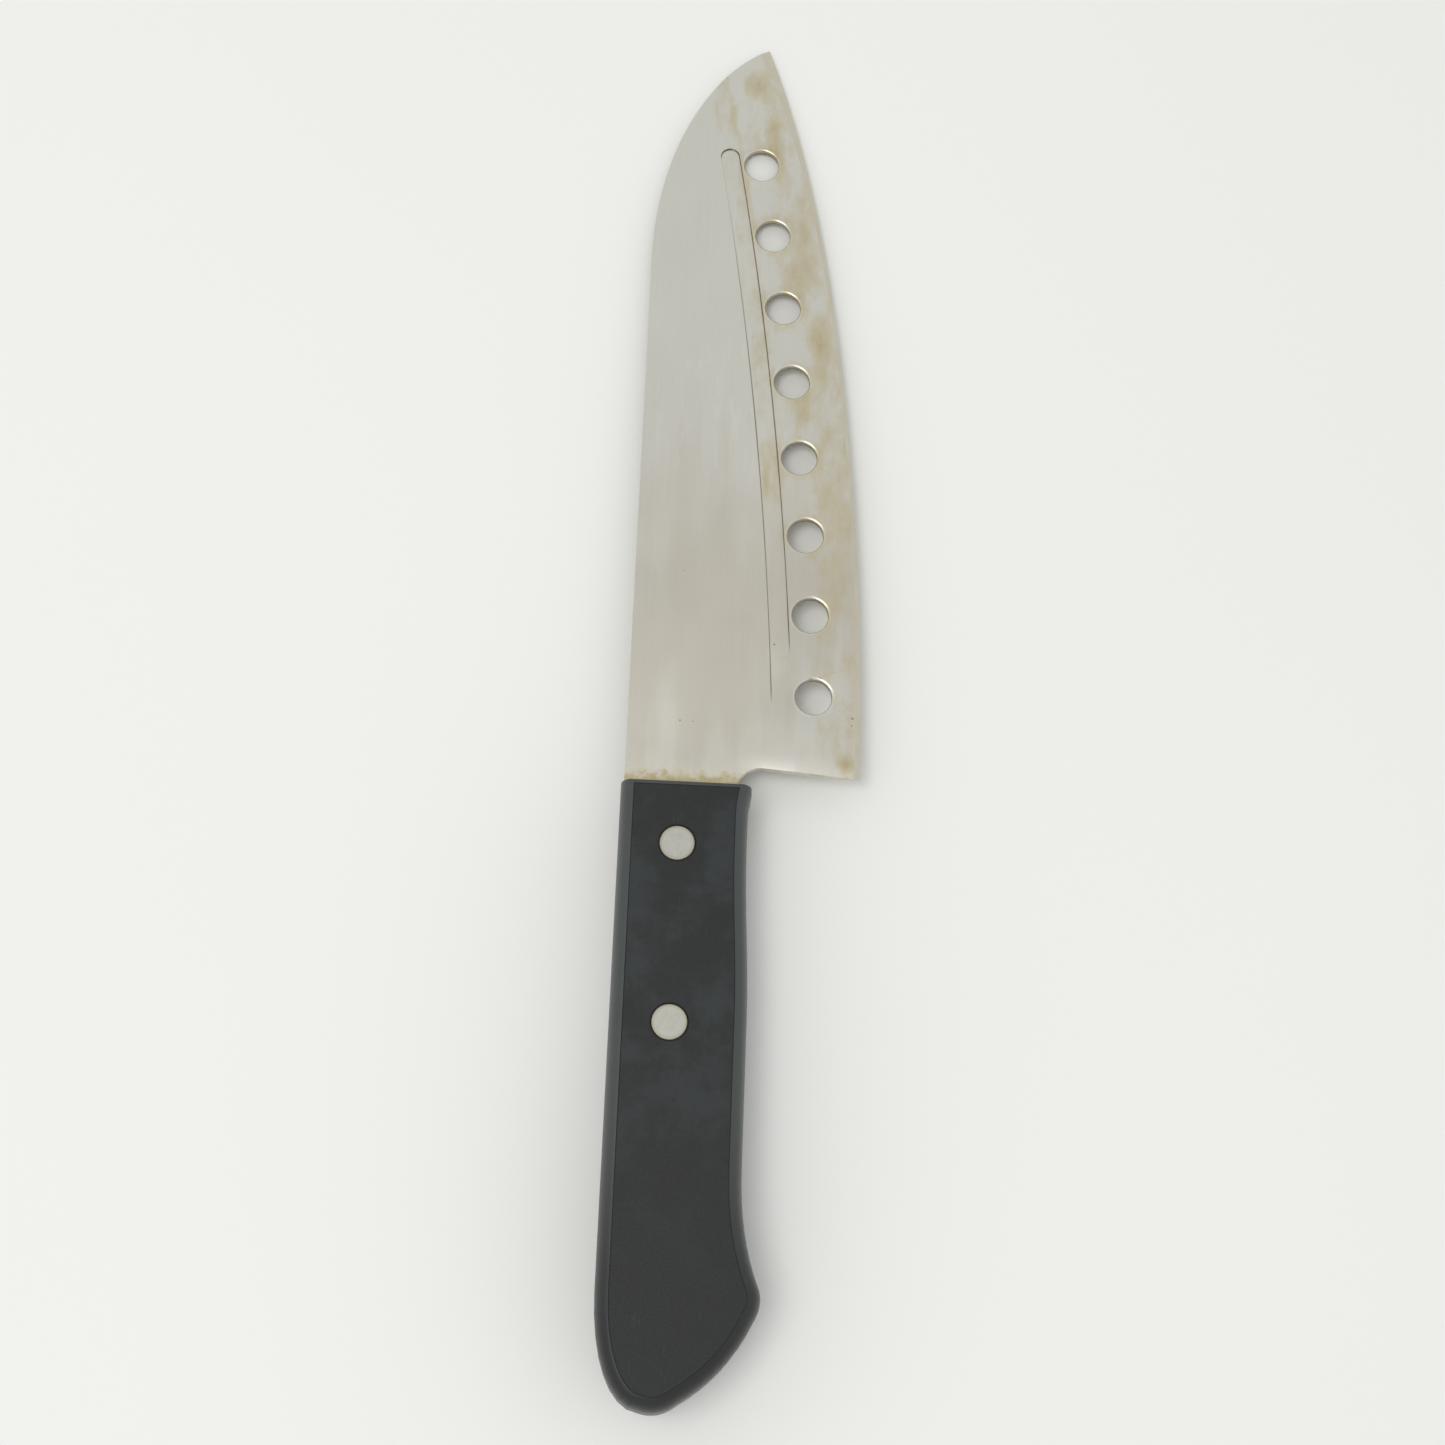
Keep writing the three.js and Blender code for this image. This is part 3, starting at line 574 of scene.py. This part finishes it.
def make_piece(bm, name, materials, replaced):
    mesh = bpy.data.meshes.new(name)
    bm.to_mesh(mesh)
    bm.free()
    for material in materials:
        mesh.materials.append(material)
    piece = bpy.data.objects.new(name, mesh)
    bpy.context.scene.collection.objects.link(piece)
    even = piece.modifiers.new("even_shading", "WEIGHTED_NORMAL")
    even.keep_sharp = True
    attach(piece, "root")
    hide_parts(replaced)
    return piece


def bevel(bm, edges, offset, segments):
    """Rounds the edges. The offset isn't clamped: one short edge would shrink the whole bevel."""
    return bmesh.ops.bevel(bm, geom=list(edges), offset=offset * MM, offset_type="OFFSET", affect="EDGES",
                           segments=segments, profile=0.5, material=-1, clamp_overlap=False)


def weld_slivers(bm, distance):
    """Joins points that lie closer than any real detail, and drops the faces that this empties."""
    bmesh.ops.remove_doubles(bm, verts=bm.verts, dist=distance * MM)
    bmesh.ops.dissolve_degenerate(bm, dist=distance * MM, edges=bm.edges)


def close_up(bm):
    """Cuts the faces into triangles. Where a boundary is almost straight, the faces on both sides of it
    can yield the same sliver, so both copies are dropped."""
    bmesh.ops.triangulate(bm, faces=bm.faces)
    by_corners = {}
    for face in bm.faces:
        by_corners.setdefault(frozenset(face.verts), []).append(face)
    doubled = [f for same in by_corners.values() if len(same) > 1 for f in same]
    bmesh.ops.delete(bm, geom=doubled, context="FACES")


def in_millimetres(point):
    """A place in the frame as millimetres from the spine and from the handle's front end."""
    return (point.x - spine_x) / MM, (point.y - front_y) / MM


def across_row(point):
    """How far a point lies outside the circle of the hole centres, in millimetres."""
    x, y = in_millimetres(point)
    return math.hypot(x - ROW_CENTRE[0], y - ROW_CENTRE[1]) - ROW_RADIUS


def ground_height(point):
    """Height of the blade's upper face under a point: level from the spine to the groove, then
    falling to the edge."""
    past_shoulder = across_row(point) + GROOVE_TO_HOLES - GROOVE_HALF_WIDTH
    return blade_top - max(past_shoulder, 0) * GRIND_SLOPE * MM


def edge_middle(edge):
    return (edge.verts[0].co + edge.verts[1].co) / 2


def is_sharp(edge):
    return edge.calc_face_angle(0) > math.radians(50)


def roll_hole_edges(bm):
    """The punch draws the upper face down round each hole: a short quarter turn, flattened."""
    def rims():
        return [e for e in bm.edges if is_sharp(e)
                and any(abs((edge_middle(e).xy - c.xy).length - HOLE_RADIUS * MM) < 0.03 * MM
                        for c in hole_centres)]
    middle = (blade_low.z + blade_high.z) / 2
    burr_side = [e for e in rims() if edge_middle(e).z < middle]
    bevel(bm, burr_side, BURR_SOFTENING, 2)
    punched_side = [e for e in rims() if edge_middle(e).z > middle]
    rolled = bevel(bm, punched_side, ROLL, 6)
    for vert in rolled["verts"]:
        centre = min(hole_centres, key=lambda c: (vert.co.xy - c.xy).length)
        # Each ring of the roll is put back on its circle, since a seam can pull a point off it.
        below = min(max((ground_height(vert.co) - vert.co.z) / MM, 0), ROLL)
        radius = HOLE_RADIUS + ROLL - math.sqrt(ROLL ** 2 - (ROLL - below) ** 2)
        vert.co.xy = centre.xy + (vert.co.xy - centre.xy).normalized() * radius * MM
        vert.co.z = ground_height(vert.co) - below * ROLL_DEPTH * MM


def run_out_groove(bm):
    """The groove's floor rises to the face over its last stretch towards the heel."""
    floor_z = blade_top - GROOVE_DEPTH * MM
    for y in RUN_OUT_CUTS:
        floor = [f for f in bm.faces if f.normal.z > 0.99
                 and abs(f.calc_center_median().z - floor_z) < 0.002 * MM]
        parts = set(floor) | {e for f in floor for e in f.edges} | {v for f in floor for v in f.verts}
        bmesh.ops.bisect_plane(bm, geom=list(parts), plane_co=place(0, y), plane_no=(0, 1, 0))
    for vert in bm.verts:
        if abs(vert.co.z - floor_z) < 0.002 * MM:
            side = across_row(vert.co) + GROOVE_TO_HOLES
            past_fade = in_millimetres(vert.co)[1] - GROOVE_FADES - GROOVE_FADE_SKEW * side
            share = min(max(past_fade / GROOVE_RUN_OUT, 0.02), 1)
            vert.co.z = blade_top - GROOVE_DEPTH * MM * share * share * (3 - 2 * share)


def wall_height(edge):
    """Height in millimetres of the tallest upright face beside an edge."""
    heights = [0]
    for face in edge.link_faces:
        if abs(face.normal.z) < 0.5:
            levels = [v.co.z for v in face.verts]
            heights.append((max(levels) - min(levels)) / MM)
    return max(heights)


def on_outline(edge):
    """True for a sharp edge of the blade's own outline. The holes, the groove and the tang are left out."""
    middle = edge_middle(edge)
    on_a_face = min(abs(middle.z - blade_low.z), abs(middle.z - blade_top)) < 1e-6
    hole_gap = min(abs((middle.xy - c.xy).length - HOLE_RADIUS * MM) for c in hole_centres)
    return (is_sharp(edge) and on_a_face and hole_gap > 0.1 * MM and wall_height(edge) > 2 * GROOVE_DEPTH
            and in_millimetres(middle)[1] > AHEAD_OF_HANDLE)


def make_blade(ground, whetted):
    bm = solid_copy("blade")
    outline = [edge for edge in bm.edges if on_outline(edge)]
    # The cutting bevel is the strip tilted more than the ground face, less than a wall.
    for face in bm.faces:
        if across_row(face.calc_center_median()) > WHETTED_FROM and 0.9 < abs(face.normal.z) < 0.993:
            face.material_index = 1
    bevel(bm, outline, OUTLINE_SOFTENING, 2)
    roll_hole_edges(bm)
    run_out_groove(bm)
    weld_slivers(bm, 0.0002)
    close_up(bm)
    shade_by_angle(bm, 35)
    # The flat beside each rolled edge keeps its own shading.
    for edge in bm.edges:
        reach = [min((v.co.xy - c.xy).length for c in hole_centres) / MM for v in edge.verts]
        if all(abs(r - HOLE_RADIUS - ROLL) < 0.06 for r in reach):
            edge.smooth = False
    return make_piece(bm, "blade_ground", [ground, whetted], "blade")


def make_handle(flat, crease, rim):
    bm = solid_copy("handle")
    front_edges = [e for e in bm.edges if is_sharp(e)
                   and all(abs(v.co.y - handle_high.y) < 1e-5 for v in e.verts)
                   and min(abs(edge_middle(e).z - handle_low.z),
                           abs(edge_middle(e).z - handle_high.z)) < 1e-5]
    bevel(bm, front_edges, FRONT_SOFTENING, 4)
    # The bevel ends in two points closer than the step is wide, which would fold the step over.
    corners = [v for v in bm.verts if v.co.y > front_y - (FRONT_SOFTENING + 0.05) * MM
               and min(abs(v.co.z - handle_low.z), abs(v.co.z - handle_high.z)) < 1e-6]
    bmesh.ops.remove_doubles(bm, verts=corners, dist=0.15 * MM)
    weld_slivers(bm, 0.004)
    flats = [f for f in bm.faces if abs(f.normal.z) > 0.999 and min(
        abs(f.calc_center_median().z - handle_low.z), abs(f.calc_center_median().z - handle_high.z)) < 1e-5]
    ring = bmesh.ops.inset_region(bm, faces=flats, thickness=STEP_WIDTH * MM, depth=-STEP_DEPTH * MM,
                                  use_even_offset=True, use_boundary=True)
    for face in bm.faces:
        face.material_index = 2
    for face in ring["faces"]:
        face.material_index = 1
    for face in flats:
        face.material_index = 0
    shade_by_angle(bm, 32)
    # The step beside each flat is crisp, and the flat itself shades as one plane.
    for edge in bm.edges:
        if len({face.material_index for face in edge.link_faces}) > 1:
            edge.smooth = False
    return make_piece(bm, "handle_moulded", [flat, crease, rim], "handle")


def make_filler(material):
    bm = solid_copy("slot_filler")
    shade_by_angle(bm, 35)
    return make_piece(bm, "slot_filler_resin", [material], "slot_filler")


def make_rivet_half(node, material):
    """One half of a two-part rivet, with a soft edge worn round its head."""
    bm = solid_copy(node)
    low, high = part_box(node)
    radius = (high.x - low.x) / 2
    centre = (low + high) / 2
    outer = low.z if node.endswith("shank") else high.z
    rim = [e for e in bm.edges if all(abs(v.co.z - outer) < 1e-5 for v in e.verts)
           and all(abs((v.co.xy - centre.xy).length - radius) < 1e-5 for v in e.verts)]
    bevel(bm, rim, RIVET_SOFTENING, 3)
    shade_by_angle(bm, 50)
    return make_piece(bm, node + "_ground_flush", [material], node)


make_blade(steel_material(), whetted_material())
# The flats darken towards the butt: painted shade.
matt = plastic_material("black_moulded_plastic", ("#0b0d0e", "#1f2527"), (0.4, 0.66), (0.52, 0.64),
                        (-108, -45))
# The rim's paler colour is a painted sheen, darkened towards the butt by painted shade.
polished = plastic_material("black_plastic_rim_with_painted_sheen", ("#161818", "#3c4140"), (-0.3, 0.5),
                            (0.34, 0.44), (-112, -60))
make_handle(matt, crease_material(), polished)
make_filler(filler_material())
aluminium = rivet_material()
for end in ("front", "rear"):
    for half in ("sleeve", "shank"):
        make_rivet_half(f"{end}_rivet_{half}", aluminium)


# ---------------------------------------------------------------- stage

def make_floor():
    """The knife is blade-heavy, so it rests on the blade's underside near the tip and on the handle's
    front end. The floor leans to lie under both."""
    bm = bmesh.new()
    bmesh.ops.create_grid(bm, x_segments=2, y_segments=2, size=4.0)
    blade = solid_copy("blade")
    lean = min(math.atan2(v.co.z, v.co.y - front_y) for v in blade.verts if v.co.y > front_y + 50 * MM)
    blade.free()
    bmesh.ops.rotate(bm, cent=(0, 0, 0), matrix=Matrix.Rotation(lean, 3, "X"), verts=bm.verts)
    bmesh.ops.translate(bm, vec=(0, front_y, 0), verts=bm.verts)
    mesh = bpy.data.meshes.new("floor")
    bm.to_mesh(mesh)
    bm.free()
    mesh.materials.append(floor_material())
    floor = bpy.data.objects.new("floor", mesh)
    bpy.context.scene.collection.objects.link(floor)


def add_softbox(name, position, size, power):
    light = bpy.data.lights.new(name, "AREA")
    light.shape = "SQUARE"
    light.size = size
    light.energy = power
    box = bpy.data.objects.new(name, light)
    box.location = position
    box.rotation_mode = "QUATERNION"
    box.rotation_quaternion = (-Vector(position)).to_track_quat("-Z", "Y")
    bpy.context.scene.collection.objects.link(box)


def add_camera():
    target = Vector((-4.16 * MM, -12.99 * MM, blade_top))
    back = Vector((-0.0312, -0.3269, 0.9446)).normalized()
    up = Vector((-0.0358, 0.9994, 0))
    right = up.cross(back).normalized()
    up = back.cross(right)
    data = bpy.data.cameras.new("camera")
    data.sensor_width = 36
    data.lens = 57.3
    data.clip_start = 0.01
    data.clip_end = 20
    camera = bpy.data.objects.new("camera", data)
    turn = Matrix((right, up, back)).transposed().to_4x4()
    camera.matrix_world = Matrix.Translation(target + back * 0.460) @ turn
    bpy.context.scene.collection.objects.link(camera)
    bpy.context.scene.camera = camera


def light_the_room():
    """A pale room, brighter near the horizon than overhead, with one softbox high up and to the left."""
    world = bpy.data.worlds.new("room")
    world.use_nodes = True
    tree = world.node_tree
    direction = add(tree, "TexCoord").outputs["Generated"]
    height = add(tree, "SeparateXYZ", {0: direction}).outputs["Z"]
    overhead = add(tree, "MapRange", {"Value": height, "From Min": 0.55, "From Max": 0.98})
    shade = add(tree, "Mix", {0: overhead.outputs[0], 6: (0.97, 0.985, 0.98, 1), 7: (0.72, 0.72, 0.71, 1)},
                data_type="RGBA")
    sky = tree.nodes["Background"]
    tree.links.new(shade.outputs[2], sky.inputs["Color"])
    sky.inputs["Strength"].default_value = 0.86
    bpy.context.scene.world = world
    add_softbox("key_softbox", (-0.3, -0.24, 1.14), 0.45, 4.1)
    bpy.context.scene.view_settings.view_transform = "Standard"


make_floor()
add_camera()
light_the_room()
